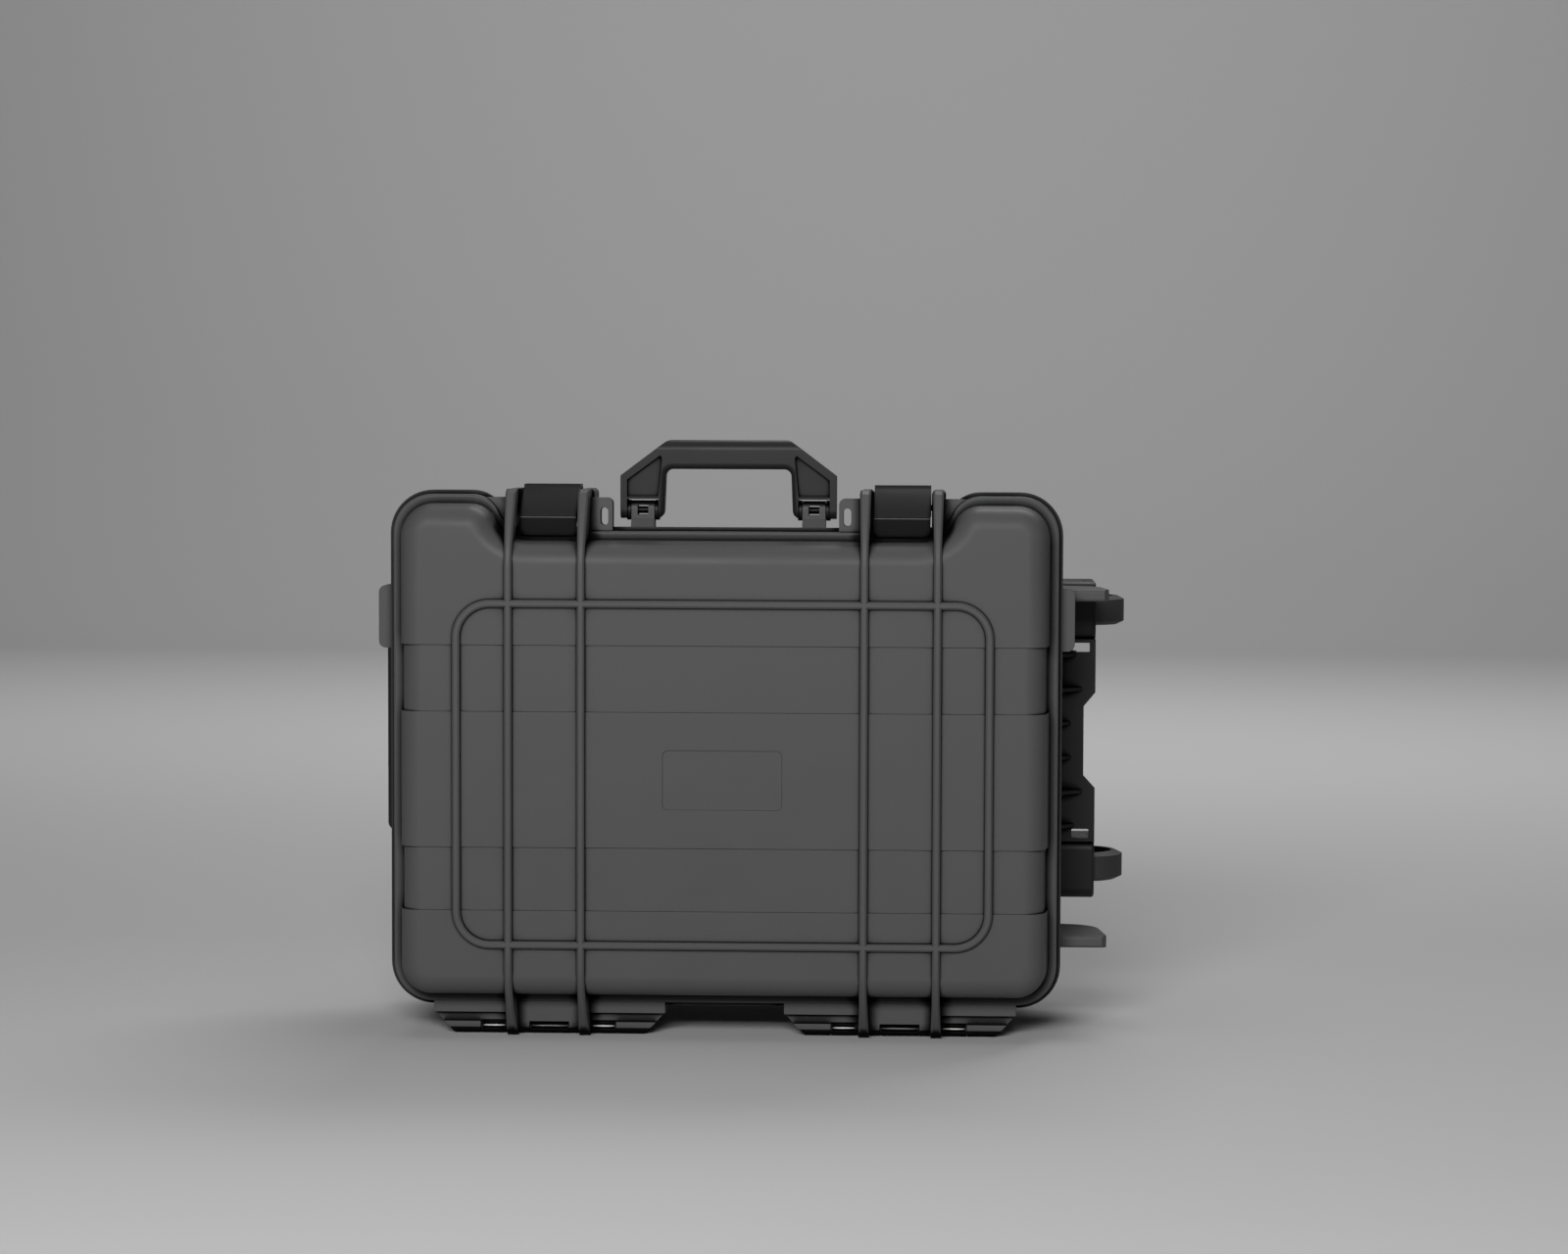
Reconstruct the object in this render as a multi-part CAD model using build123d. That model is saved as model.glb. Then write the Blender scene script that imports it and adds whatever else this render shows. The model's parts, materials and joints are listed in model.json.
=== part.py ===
from build123d import *
import math
import os

# Wheeled protective case, standing on its hinge side.
# X runs along the case, Y runs from the lid to the back of the base, Z is up.
# The lid meets the base at Y = 0, and the hinge ribs stand on Z = FOOT_Z.
# Each piece is moved at the end, so that the origin lies under the middle of the whole case.

# Flange outline, seen along Y
HALF_WIDTH = 280.7
FLANGE_BOTTOM = 22.1
SHOULDER_TOP = 453.8
RECESS_TOP = 423.5
CORNER_R = 36.0
SHOULDER_END = 212.0
SHOULDER_R = 29.0
RECESS_R = 23.0

# Flanges, walls and depths
PART_GAP = 0.15
FLANGE_T = 9.0
FLANGE_LIP = 9.5
LID_DEPTH = 45.0
LID_DRAFT = 7.0
LID_EDGE_R = 17.0
LID_STEP = 3.3
CAVITY_EDGE = 8.0
BASE_DEPTH = 205.0
BASE_DRAFT = 2.5
BASE_EDGE_R = 18.0
SHOULDER_DEPTH = 60.0
WALL = 4.5
MOUTH_INSET = 14.5
LATCH_SIDE_DROP = 8.0

# Gasket, its groove in the lid and the tongue of the base that presses on it
GROOVE_INSET = 9.0
GROOVE_W = 4.0
GROOVE_DEPTH = 4.0
GASKET_T = 2.9
TONGUE_W = 1.6
TONGUE_H = 1.05

# Ribs of the shells
RIB_X = (116.8, 177.0)
RIB_W = 6.4
RIB_END_W = 9.0
RIB_H = 3.6
RIB_TOP = 455.0
RIB_ROUND = 1.6
STAND_W = 11.6
RING_HALF = 220.0
RING_LOW = 78.3
RING_HIGH = 361.2
RING_R = 28.0
BASE_RIB_H = 4.0

# Recessed bands and the bare label recess of the lid
BANDS = ((271.7, 327.0), (106.7, 159.4))
BAND_FACE = 0.5
BAND_SIDE = 2.2
LABEL_HALF = 49.4
LABEL_LOW = 191.2
LABEL_HIGH = 240.5
LABEL_R = 4.5
LABEL_DEPTH = 0.35

# Hinges, one under each pair of ribs
FEATURE_X = 146.9
FOOT_Z = -2.4
HINGE_R = 5.9
HINGE_Z = FOOT_Z + HINGE_R
HINGE_PIN_R = 2.5
PIN_FIT = 0.06
KNUCKLE_GAP = 0.35
LEAF_T = 8.0
LID_FOOT_REACH = 13.8
HINGE_HALF_TOP = 97.0
HINGE_HALF_LOW = 78.7
HINGE_SLOPE_TOP = 16.2
HINGE_WINDOW = (-1.5, 5.1)
HINGE_PIN_HALF = 78.0
LID_KNUCKLES = ((-97.0, -58.0), (-36.5, -17.0), (16.5, 34.5), (56.0, 97.0))

# Latches, hooked over the lid's catch and hung on the base
LATCH_W = 47.0
LATCH_PIVOT = (30.0, 440.0)
LATCH_BORE_R = 2.6
LATCH_PIN_R = 2.55
LATCH_POCKET = 413.0
CATCH_TOP = 416.0
CATCH_FRONT = -10.5

# Padlock tabs
TAB_IN = 94.3
TAB_OUT = 205.0
TAB_TOP = 448.0
TAB_T = 6.0
TAB_SLOT_X = 101.2
TAB_SLOT_Z = 432.5
TAB_SLOT_W = 6.5
TAB_SLOT_H = 14.8

# Carry handle
HANDLE_HALF = 90.8
HANDLE_OPEN_HALF = 52.6
HANDLE_OPEN_LOW = 54.4
HANDLE_TOP = 496.0
GRIP_LOW = 471.5
HANDLE_LOW = 430.0
HANDLE_FRONT = 26.0
HANDLE_T = 20.0
HANDLE_PIVOT_Z = 437.0
HANDLE_LUG_X = 72.0
HANDLE_LUG_W = 19.4
HANDLE_PIN_R = 3.0
POCKET_DEPTH = 2.5

# End lugs beside the flange
END_LUG_X = 290.9
END_LUG_LOW = 321.4
END_LUG_HIGH = 373.7

# Wheel end, on the right
CARRIER_Z = 236.4
WHEEL_HALF_SPAN = 112.0
WHEEL_R = 34.0
WHEEL_W = 28.0
CROWN_HALF = 9.5
WHEEL_X = 304.3
WHEEL_Y = 168.0
AXLE_R = 4.0
BRACKET_TIP = 312.5
BRACKET_HALF = 25.5
BRACKET_FRONT = 124.0
PLATE_HALF = 88.0
GUSSET_STEP = 29.7
GUSSET_REACH = (296.7, 302.5, 292.1, 292.3, 303.2, 295.8)
PAD_X = 267.0
SCREW_R = 2.5

# Standing fins of the wheel end
FINS_Z = (73.2, 366.5)
FIN_T = 9.9
FIN_TIP = 320.5
FIN_FRONT = 35.0
FIN_BACK = 110.0

# Trolley, on the left end and along the back
TROLLEY_Z = 234.0
CHANNEL_HALF = 84.0
CHANNEL_DEPTH = 38.0
CHANNEL_END = 236.0
TUBE_SPREAD = 62.0
TUBE_Y = 184.0
TUBE_OUT_R = 10.0
TUBE_MID_R = 8.6
TUBE_IN_R = 7.2
TUBE_WALL = 1.3
TUBE_LEFT = -262.0
TUBE_RIGHT = 226.0
GRIP_HALF = 85.5
GRIP_TIP = -311.0
GRIP_ROOT = -273.5
GRIP_BAR = 20.0
GRIP_T = 26.0
GRIP_LEG = 34.0

# Pressure valve, in the latch side
VALVE_Y = 52.0


def arc_about(centre, radius, start, end):
    """An arc about a centre, from one angle to another, in degrees."""
    points = []
    for angle in (start, (start + end) / 2, end):
        turn = math.radians(angle)
        points.append((centre[0] + radius * math.cos(turn), centre[1] + radius * math.sin(turn)))
    return ThreePointArc(*points)


def shouldered_outline(inset, drop=0.0, shoulder_r=SHOULDER_R, corner_r=CORNER_R):
    """The case's outline with its two shoulders, drawn in by an inset and lowered at the recess."""
    half = HALF_WIDTH - inset
    low = FLANGE_BOTTOM + inset
    top = SHOULDER_TOP - inset
    corner = corner_r - inset
    convex = shoulder_r - inset
    concave = RECESS_R + inset
    convex_at = (SHOULDER_END, SHOULDER_TOP - shoulder_r)
    concave_z = RECESS_TOP + RECESS_R - drop
    rise = convex_at[1] - concave_z
    reach = math.sqrt((convex + concave) ** 2 - rise**2)
    concave_at = (SHOULDER_END - reach, concave_z)
    meet = math.degrees(math.atan2(-rise, -reach))
    recess = concave_z - concave
    half_line = Curve() + [
        Line((0, low), (half - corner, low)),
        arc_about((half - corner, low + corner), corner, -90, 0),
        Line((half, low + corner), (half, top - corner)),
        arc_about((half - corner, top - corner), corner, 0, 90),
        Line((half - corner, top), (SHOULDER_END, top)),
        arc_about(convex_at, convex, 90, meet % 360),
        arc_about(concave_at, concave, meet % 360 - 180, -90),
        Line((concave_at[0], recess), (0, recess)),
    ]
    return make_face(half_line + mirror(half_line, Plane.YZ))


def rounded_plate(low_x, high_x, low_z, high_z, radius):
    """A rounded rectangle in X and Z."""
    middle = Pos((low_x + high_x) / 2, (low_z + high_z) / 2)
    return middle * RectangleRounded(high_x - low_x, high_z - low_z, radius)


def toward_back(face, start, depth, taper=0.0):
    """A face in X and Z, extruded from Y = start towards the back."""
    placed = Pos(0, start, 0) * (Plane.XZ * face)
    return extrude(placed, amount=-depth, taper=taper)


def toward_front(face, start, depth, taper=0.0):
    """A face in X and Z, extruded from Y = start towards the front."""
    placed = Pos(0, start, 0) * (Plane.XZ * face)
    return extrude(placed, amount=depth, taper=taper)


def along_x(face, low, high):
    """A face drawn in Y and Z, extruded from X = low to X = high."""
    placed = Pos(low, 0, 0) * (Plane.YZ * face)
    return extrude(placed, amount=high - low)


def block(low, high):
    """A box between two corners."""
    size = [high[i] - low[i] for i in range(3)]
    return Pos(*low) * Box(*size, align=(Align.MIN, Align.MIN, Align.MIN))


def rod_x(y, z, radius, low, high):
    """A round rod along X."""
    return Pos((low + high) / 2, y, z) * Rot(0, 90, 0) * Cylinder(radius, high - low)


def pin_x(x, y, z, radius, half):
    """A pin along X, with its middle at a place."""
    return rod_x(y, z, radius, x - half, x + half)


def rod_z(x, y, radius, low, high):
    """A round rod along Z."""
    return Pos(x, y, (low + high) / 2) * Cylinder(radius, high - low)


def seal_ring(inset, width):
    """A closed ring along the seal, between two insets of the outline."""
    outer = shouldered_outline(inset, LATCH_SIDE_DROP)
    return outer - shouldered_outline(inset + width, LATCH_SIDE_DROP)


def lid_form():
    """The lid's moulded dome behind its flange, with draft and a large front edge."""
    face = shouldered_outline(FLANGE_LIP, 0, SHOULDER_R + 5, CORNER_R + 2)
    dome = toward_front(face, -1, LID_DEPTH - 1, LID_DRAFT)
    front = dome.faces().sort_by(Axis.Y)[0]
    return fillet(front.edges(), LID_EDGE_R)


def band_form():
    """The lower form that the dome has along its recessed bands."""
    inset = FLANGE_LIP + BAND_SIDE
    face = rounded_plate(
        -HALF_WIDTH + inset, HALF_WIDTH - inset, FLANGE_BOTTOM + inset, RECESS_TOP - inset, CORNER_R - inset
    )
    form = toward_front(face, -1, LID_DEPTH - BAND_FACE - 1, LID_DRAFT)
    long_edges = form.faces().sort_by(Axis.Y)[0].edges().filter_by(Axis.Z)
    return fillet(long_edges, LID_EDGE_R)


def lid_rib(x):
    """One rib over the lid's face, its latch side and its hinge side, widening to both ends."""
    crest = -(LID_DEPTH + RIB_H)
    side = Polyline(
        (-PART_GAP, RIB_TOP),
        (-20, RIB_TOP),
        (-27, RIB_TOP - 3),
        (-40, 424),
        (crest + 2, 404),
        (crest, 392),
        (crest, 55),
        (crest + 2, 43),
        (-34, 20),
        (-22, 4),
        (-12, FOOT_Z + 0.3),
        (-PART_GAP, FOOT_Z + 0.3),
        close=True,
    )
    web = along_x(make_face(side), x - RIB_END_W, x + RIB_END_W)
    middle = RIB_W / 2
    end = RIB_END_W / 2
    half_front = Polyline(
        (x, FOOT_Z),
        (x + end, FOOT_Z),
        (x + middle, 30),
        (x + middle, 410),
        (x + end, RIB_TOP + 1),
        (x, RIB_TOP + 1),
        close=True,
    )
    front = make_face(half_front)
    front += mirror(front, Plane.YZ.offset(x))
    body = web & toward_front(front, 0, 60)
    long_edges = body.edges().filter_by(lambda e: e.center().Y < -20 and abs(e.center().X - x) > 1)
    crest_edges = long_edges.filter_by(lambda e: abs(e.tangent_at(0).Y) < 0.95)
    return chamfer(crest_edges, RIB_ROUND)


def ring_rib():
    """The rounded rectangular rib on the lid's face."""
    middle = rounded_plate(-RING_HALF, RING_HALF, RING_LOW, RING_HIGH, RING_R)
    band = offset(middle, RIB_W / 2) - offset(middle, -RIB_W / 2)
    ring = toward_front(band, -LID_DEPTH + 3, RIB_H + 3)
    crest = ring.faces().sort_by(Axis.Y)[0]
    return chamfer(crest.edges(), RIB_ROUND)


def tab_plates(start, depth):
    """The padlock tab plates beside the latches, as one extrusion along Y."""
    plates = Part()
    for side in (-1, 1):
        inner_plate = rounded_plate(TAB_IN, RIB_X[0] + 2, 402, TAB_TOP, 5)
        outer_plate = rounded_plate(RIB_X[1] - 2, TAB_OUT, 402, TAB_TOP, 3)
        slot = Pos(TAB_SLOT_X, TAB_SLOT_Z) * Rot(0, 0, 90) * SlotOverall(TAB_SLOT_H, TAB_SLOT_W)
        plate = toward_back(inner_plate + outer_plate - slot, start, depth)
        plates += plate if side > 0 else mirror(plate, Plane.YZ)
    return plates


def hinge_trapezoid(centre):
    """One hinge's outline in X and Z, narrowing towards its barrels."""
    outline = Polyline(
        (centre - HINGE_HALF_TOP, FLANGE_BOTTOM + 8),
        (centre - HINGE_HALF_TOP, HINGE_SLOPE_TOP),
        (centre - HINGE_HALF_LOW, FOOT_Z),
        (centre + HINGE_HALF_LOW, FOOT_Z),
        (centre + HINGE_HALF_TOP, HINGE_SLOPE_TOP),
        (centre + HINGE_HALF_TOP, FLANGE_BOTTOM + 8),
        close=True,
    )
    return make_face(outline)


def hinge_half(centre, low_y, high_y, spans):
    """The leaf and barrels that one side of the case brings to one hinge."""
    leaf = toward_back(hinge_trapezoid(centre), low_y, high_y - low_y)
    leaf &= block((centre - 120, low_y, HINGE_Z), (centre + 120, high_y, 60))
    barrels = knuckles(centre, spans, KNUCKLE_GAP)
    return leaf + (barrels & toward_back(hinge_trapezoid(centre), -HINGE_R - 1, 2 * HINGE_R + 2))


def knuckle_gaps():
    """The spans along X that the base's knuckles fill, between the lid's."""
    ends = [LID_KNUCKLES[0][1]]
    spans = []
    for low, high in LID_KNUCKLES[1:]:
        spans.append((ends[-1], low))
        ends.append(high)
    return spans


def knuckles(centre, spans, clearance):
    """Round knuckles on the hinge axis, each shortened by a clearance at both ends."""
    barrels = Part()
    for low, high in spans:
        barrels += rod_x(0, HINGE_Z, HINGE_R, centre + low + clearance, centre + high - clearance)
    return barrels


def lid_body():
    """The lid's dome, lowered bands and flange, before they are hollowed."""
    outer = lid_form()
    recessed = band_form()
    for low, high in BANDS:
        band = block((-400, -100, low), (400, 0, high))
        outer = outer - band + (recessed & band)
    flange = toward_front(shouldered_outline(LID_STEP), -PART_GAP, FLANGE_T - PART_GAP)
    front = flange.faces().sort_by(Axis.Y)[0]
    flange = fillet(front.outer_wire().edges(), 2.4)
    return outer + flange - block((-300, -PART_GAP, -20), (300, 20, 500))


def lid_shell(body):
    """The lid's hollow shell, with its label recess, gasket groove, latch pockets and catches."""
    mouth = shouldered_outline(MOUTH_INSET, LATCH_SIDE_DROP, SHOULDER_R + 5, CORNER_R + 2)
    cavity = toward_front(mouth, 0, LID_DEPTH - WALL, LID_DRAFT)
    deep = cavity.faces().sort_by(Axis.Y)[0]
    shell = body - chamfer(deep.edges(), CAVITY_EDGE)
    label = rounded_plate(-LABEL_HALF, LABEL_HALF, LABEL_LOW, LABEL_HIGH, LABEL_R)
    shell -= toward_front(label, -LID_DEPTH + LABEL_DEPTH, 5)
    shell -= toward_front(seal_ring(GROOVE_INSET, GROOVE_W), 0, GROOVE_DEPTH + PART_GAP)
    for side in (-1, 1):
        shell -= latch_pocket(side * FEATURE_X)
        shell += catch(side * FEATURE_X)
    return shell


def latch_pocket(centre):
    """The room between two ribs that one latch closes into."""
    half = (RIB_X[1] - RIB_X[0] - RIB_W) / 2
    return block((centre - half, -12, LATCH_POCKET), (centre + half, 1, 480))


def catch(centre):
    """The lid's edge that one latch hooks behind."""
    half = (RIB_X[1] - RIB_X[0] - RIB_W) / 2
    return block((centre - half, CATCH_FRONT, LATCH_POCKET - 6), (centre + half, -7, CATCH_TOP))


def lid_ribs(body):
    """The lid's four ribs and its ring rib, outside its body."""
    ribs = ring_rib()
    for side in (-1, 1):
        for x in RIB_X:
            ribs += lid_rib(side * x)
    ribs -= body
    for side in (-1, 1):
        centre = side * FEATURE_X
        ribs -= latch_pocket(centre)
        ribs -= catch(centre)
        ribs -= hinge_zone(centre, -LEAF_T, 5)
        ribs -= lid_hinge_cuts(centre)
    return ribs


def lid_hinge_leaf(centre, body):
    """The lid's half of one hinge, with the ends of its ribs."""
    leaf = lid_hinge_half(centre)
    half = (RIB_X[1] - RIB_X[0]) / 2
    for x in (centre - half, centre + half):
        leaf += lid_rib(x) & hinge_zone(centre, -LEAF_T, -PART_GAP)
    return leaf - body - lid_hinge_cuts(centre)


def lid_hinge_cuts(centre):
    """The slots that show the base's knuckles, and the bore of the pin."""
    cuts = rod_x(0, HINGE_Z, HINGE_PIN_R + PIN_FIT, centre - HINGE_PIN_HALF - 1, centre + HINGE_PIN_HALF + 1)
    for span in knuckle_gaps():
        cuts += hinge_slot(centre, *span)
    return cuts


def hinge_zone(centre, low_y, high_y):
    """The room below the flanges that one hinge's leaf takes up."""
    return block((centre - 120, low_y, -20), (centre + 120, high_y, FLANGE_BOTTOM + 8))


def lid_hinge_half(centre):
    """The lid's half of one hinge, hollowed above the outer barrels."""
    half = hinge_half(centre, -LEAF_T, -PART_GAP, LID_KNUCKLES)
    rib = (RIB_X[1] - RIB_X[0]) / 2
    for side in (-1, 1):
        ends = sorted((centre + side * rib, centre + side * 120))
        half -= block((ends[0], -12, HINGE_Z + HINGE_R - 1), (ends[1], -3.2, HINGE_SLOPE_TOP))
    return half


def hinge_room(centre, low, high):
    """The round room that one knuckle of the other side turns in."""
    return rod_x(0, HINGE_Z, HINGE_R + 0.6, centre + low, centre + high)


def hinge_slot(centre, low, high):
    """The slot in the lid's leaf that shows one knuckle of the base."""
    slot = block((centre + low, -30, -8), (centre + high, 1, HINGE_Z + HINGE_WINDOW[1]))
    return slot + hinge_room(centre, low, high)


def swing_room(centre, low, high):
    """The room under the hinge axis that the foot of a lid rib swings through."""
    swing = rod_x(0, HINGE_Z, LID_FOOT_REACH, centre + low, centre + high)
    return swing & block((centre + low, -30, -30), (centre + high, 30, HINGE_Z + 0.3))


def gasket():
    """The seal that lies in the lid's groove."""
    slack = 0.3
    ring = seal_ring(GROOVE_INSET + slack, GROOVE_W - 2 * slack)
    return toward_front(ring, -GROOVE_DEPTH - PART_GAP + GASKET_T, GASKET_T)


def base_rib(x):
    """One rib along the base's latch side, back and hinge side."""
    back = BASE_DEPTH + BASE_RIB_H
    side = Polyline(
        (PART_GAP, RIB_TOP),
        (48, RIB_TOP),
        (62, 441),
        (80, 419),
        (BASE_DEPTH - 14, 411),
        (back - 2, 404),
        (back, 394),
        (back, 34),
        (BASE_DEPTH - 22, FOOT_Z),
        (PART_GAP, FOOT_Z),
        close=True,
    )
    web = make_face(side)
    body = along_x(web, x - RIB_W / 2, x + RIB_W / 2)
    low_end = along_x(web, x - RIB_END_W / 2, x + RIB_END_W / 2) & block((x - 20, 0, -5), (x + 20, 40, 26))
    stand = Pos(x, 428) * RectangleRounded(STAND_W, 2 * (RIB_TOP - 428), 4)
    upright = toward_back(stand, 12, 36)
    return body + low_end + upright


def base_tub():
    """The drafted tub of the base with its shoulders, before it is hollowed."""
    inset = FLANGE_LIP
    face = rounded_plate(
        -HALF_WIDTH + inset, HALF_WIDTH - inset, FLANGE_BOTTOM + inset, RECESS_TOP - inset, CORNER_R - 4
    )
    tub = toward_back(face, 1, BASE_DEPTH - 1, BASE_DRAFT)
    tub = fillet(tub.faces().sort_by(Axis.Y)[-1].edges(), BASE_EDGE_R)
    shoulders = toward_back(shouldered_outline(inset), 1, SHOULDER_DEPTH - 1, BASE_DRAFT)
    shoulders = fillet(shoulders.faces().sort_by(Axis.Y)[-1].edges(), 8)
    return tub + shoulders


def base_cavity():
    """The room inside the base, open at the lid."""
    side = MOUTH_INSET
    face = rounded_plate(
        -HALF_WIDTH + side,
        HALF_WIDTH - side,
        FLANGE_BOTTOM + side,
        RECESS_TOP - side - LATCH_SIDE_DROP,
        CORNER_R - 9,
    )
    room = toward_back(face, -2, BASE_DEPTH - WALL + 2, BASE_DRAFT)
    room = fillet(room.faces().sort_by(Axis.Y)[-1].edges(), BASE_EDGE_R - WALL)
    shoulders = toward_back(
        shouldered_outline(side, LATCH_SIDE_DROP), -2, SHOULDER_DEPTH - WALL + 2, BASE_DRAFT
    )
    return room + shoulders


def handle_lug(x):
    """One lug of the carry handle, with its flared foot."""
    half = HANDLE_LUG_W / 2
    middle = HANDLE_FRONT + HANDLE_T / 2
    side = Polyline(
        (middle - 20, 408),
        (middle - 16, 420),
        (middle - 8, 430),
        (middle - 8, HANDLE_PIVOT_Z + 8),
        (middle + 8, HANDLE_PIVOT_Z + 8),
        (middle + 8, 424),
        (middle + 12, 419),
        (middle + 16, 408),
        close=True,
    )
    lug = along_x(make_face(side), x - half, x + half)
    lug = fillet(lug.edges().filter_by(Axis.X).group_by(Axis.Z)[-1], 7)
    foot = block((x - half - 3, middle - 20, 406), (x + half + 3, middle + 18, 417))
    foot = chamfer(foot.edges().group_by(Axis.Z)[-1], 3)
    window = block((x - 4.5, middle - 30, HANDLE_PIVOT_Z - 4), (x + 4.5, middle + 30, HANDLE_PIVOT_Z + 4))
    bore = rod_x(middle, HANDLE_PIVOT_Z, HANDLE_PIN_R + 0.02, x - 30, x + 30)
    return lug + foot - window - bore


def latch_stand(centre):
    """Bosses on the ribs' inner faces that hold one latch pin."""
    half = LATCH_W / 2
    gap = (RIB_X[1] - RIB_X[0]) / 2
    y, z = LATCH_PIVOT
    bosses = Part()
    for side in (-1, 1):
        ends = sorted((centre + side * (half + 0.6), centre + side * gap))
        bosses += rod_x(y, z, 7, *ends)
    return bosses


def base_body():
    """The base's tub, flange, end lugs and wheel end pad, before they are hollowed."""
    body = base_tub() + wheel_end_pad()
    flange = toward_back(shouldered_outline(0), PART_GAP, FLANGE_T - PART_GAP)
    body += fillet(flange.faces().sort_by(Axis.Y)[-1].outer_wire().edges(), 1.5)
    for side in (-1, 1):
        ends = sorted((side * (HALF_WIDTH - 12), side * END_LUG_X))
        body += toward_back(rounded_plate(*ends, END_LUG_LOW, END_LUG_HIGH, 5.9), PART_GAP, 24)
    return body - block((-400, -50, -20), (400, PART_GAP, 520))


def base_shell(body):
    """The base's hollow shell, with its sealing tongue, trolley channel and holes."""
    shell = body - base_cavity()
    tongue_in = GROOVE_INSET + (GROOVE_W - TONGUE_W) / 2
    shell += toward_front(seal_ring(tongue_in, TONGUE_W), PART_GAP + 1, TONGUE_H + PART_GAP + 1)
    shell = cut_channel(shell)
    shell -= rod_z(0, VALVE_Y, 6.0, 380, 430)
    for y, z in carrier_screw_places():
        shell -= rod_x(y, z, 2.0, PAD_X - 16, PAD_X + 5)
    return shell


def base_ribs(body):
    """The base's four ribs with their uprights and latch bosses, outside its body."""
    y, z = LATCH_PIVOT
    ribs = Part()
    for side in (-1, 1):
        centre = side * FEATURE_X
        pair = latch_stand(centre)
        for x in RIB_X:
            pair += base_rib(side * x)
        pair -= body
        pair -= rod_x(y, z, LATCH_PIN_R, centre - 40, centre + 40)
        pair -= hinge_zone(centre, -5, LEAF_T)
        pair -= channel_room()
        ribs += pair - base_hinge_cuts(centre)
    return ribs


def base_hinge_leaf(centre, body):
    """The base's half of one hinge, with the ends of its ribs."""
    leaf = base_hinge_half(centre)
    half = (RIB_X[1] - RIB_X[0]) / 2
    for x in (centre - half, centre + half):
        leaf += base_rib(x) & hinge_zone(centre, PART_GAP, LEAF_T)
    return leaf - body - base_hinge_cuts(centre)


def base_hinge_cuts(centre):
    """The room that the lid's knuckles turn in, the windows of the base's own, and the pin's bore."""
    cuts = rod_x(0, HINGE_Z, HINGE_PIN_R + PIN_FIT, centre - 90, centre + 90)
    for span in LID_KNUCKLES:
        cuts += hinge_room(centre, *span) + swing_room(centre, *span)
    for low, high in knuckle_gaps():
        window = [HINGE_Z + edge for edge in HINGE_WINDOW]
        cuts += block((centre + low + 1.2, -12, window[0]), (centre + high - 1.2, 0.4, window[1] + 3))
    return cuts


def base_hinge_half(centre):
    """The base's half of one hinge."""
    return hinge_half(centre, PART_GAP, LEAF_T, knuckle_gaps())


def wheel_end_pad():
    """The flat pad on the right end that the wheel carrier is screwed to."""
    face = rounded_plate(240, PAD_X, CARRIER_Z - 140, CARRIER_Z + 140, 4)
    return toward_back(face, 84, BASE_DEPTH - 84 - 6)


def carrier_screw_places():
    """Depth and height of the wheel carrier's screws."""
    return [(y, CARRIER_Z + side * 67) for side in (-1, 1) for y in (142.0, 188.0)]


def standing_fin(z):
    """One plate on the wheel end that the case stands on when it is on end."""
    bend = [(FIN_TIP - 5.3, FIN_BACK - 26), (FIN_TIP - 12, FIN_BACK - 10), (FIN_TIP - 26, FIN_BACK)]
    outline = [
        Line((250, FIN_FRONT), (FIN_TIP - 3.7, FIN_FRONT)),
        Line((FIN_TIP - 3.7, FIN_FRONT), (FIN_TIP, FIN_FRONT + 6)),
        Line((FIN_TIP, FIN_FRONT + 6), bend[0]),
        ThreePointArc(*bend),
        Line(bend[2], (250, FIN_BACK + 10)),
        Line((250, FIN_BACK + 10), (250, FIN_FRONT)),
    ]
    fin = Pos(0, 0, z - FIN_T / 2) * extrude(make_face(Curve() + outline), amount=FIN_T)
    front = fin.edges().filter_by(Axis.X).filter_by(lambda e: e.center().Y < FIN_FRONT + 1)
    return fillet(front, 2.5)


def cut_channel(shell):
    """Cut the trolley's channel into the back, and line it with walls."""
    half = CHANNEL_HALF + WALL
    floor = BASE_DEPTH - CHANNEL_DEPTH - WALL
    liner = block((-HALF_WIDTH, floor, TROLLEY_Z - half), (CHANNEL_END + WALL, BASE_DEPTH, TROLLEY_Z + half))
    return shell + (liner & base_tub()) - channel_room()


def channel_room():
    """The trolley's channel along the back, open at the left end."""
    left = -HALF_WIDTH - 20
    floor = BASE_DEPTH - CHANNEL_DEPTH
    return block(
        (left, floor, TROLLEY_Z - CHANNEL_HALF), (CHANNEL_END, BASE_DEPTH + 20, TROLLEY_Z + CHANNEL_HALF)
    )


def latch_profile():
    """A latch in Y and Z: hook in front, curved top, eye round its pin."""
    y, z = LATCH_PIVOT
    outline = [
        Line((-13.2, 416.4), (-16.6, 430.6)),
        ThreePointArc((-16.6, 430.6), (-16.5, 432.4), (-15.4, 433.6)),
        ThreePointArc((-15.4, 433.6), (-1.0, 446.6), (14.0, 457.0)),
        Line((14.0, 457.0), (15.5, 458.8)),
        Line((15.5, 458.8), (y + 5, 458.8)),
        Line((y + 5, 458.8), (y + 11, 453.0)),
        Line((y + 11, 453.0), (y + 11, 446.0)),
        Line((y + 11, 446.0), (y + 8, z)),
        ThreePointArc((y + 8, z), (y, z - 8), (y - 8, z)),
        Line((y - 8, z), (y - 8, z + 4.0)),
        Line((y - 8, z + 4.0), (4.0, 441.5)),
        Line((4.0, 441.5), (-9.0, 429.0)),
        Line((-9.0, 429.0), (-11.8, 426.0)),
        Line((-11.8, 426.0), (-11.8, 416.4)),
        Line((-11.8, 416.4), (-13.2, 416.4)),
    ]
    return make_face(Curve() + outline)


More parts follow.
